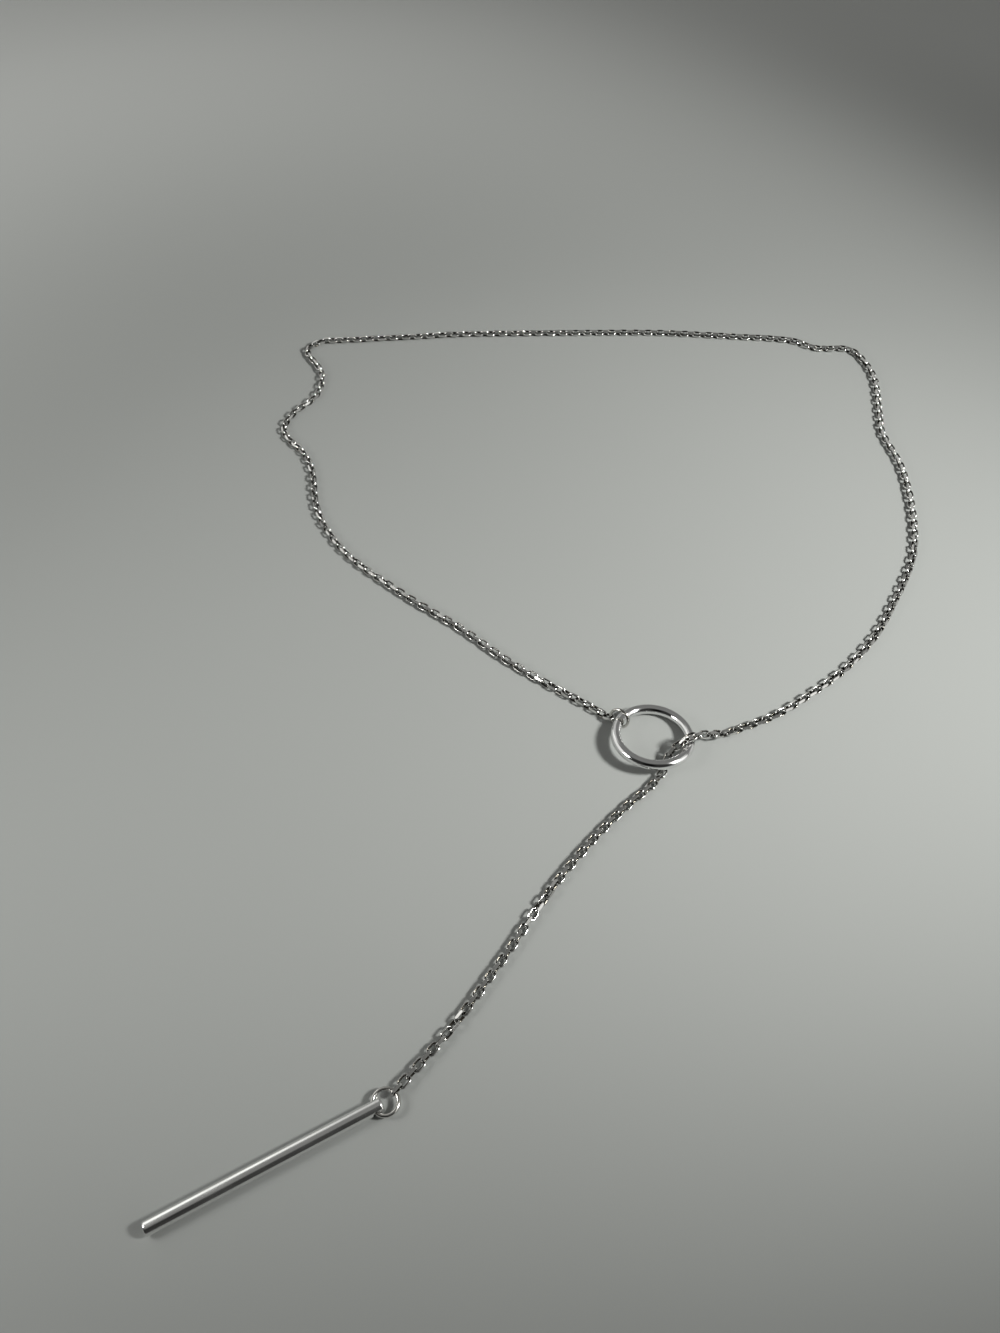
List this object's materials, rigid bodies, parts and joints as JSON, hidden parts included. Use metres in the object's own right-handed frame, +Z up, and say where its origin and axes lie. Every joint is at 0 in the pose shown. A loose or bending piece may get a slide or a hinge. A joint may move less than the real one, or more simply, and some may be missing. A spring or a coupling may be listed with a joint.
{
  "type": "y necklace",
  "caption": "Lariat necklace in polished white metal: a cable chain tied to a ring, passed through it, with a round bar on its free end, laid flat.",
  "frame": {"origin": "on the surface that the necklace lies on, below the middle of its bounding box", "axes": "+Z up from the surface, +Y from the bar's end towards the back of the neck loop, +X to the right seen from above"},
  "size_m": [0.1394, 0.1998, 0.0042],
  "materials": {
    "polished_ring": "polished white metal, round wire",
    "jump_ring_metal": "polished white metal, thin round wire",
    "chain_metal": "polished white metal links with cut outer sides",
    "polished_bar": "polished white metal, soft long highlight"
  },
  "bodies": {
    "root": {"main_ring": "polished_ring", "ring_jump_ring": "jump_ring_metal", "neck_chain": "chain_metal", "drop_chain": "chain_metal", "bar_jump_ring": "jump_ring_metal", "bar": "polished_bar"}
  },
  "joints": []
}
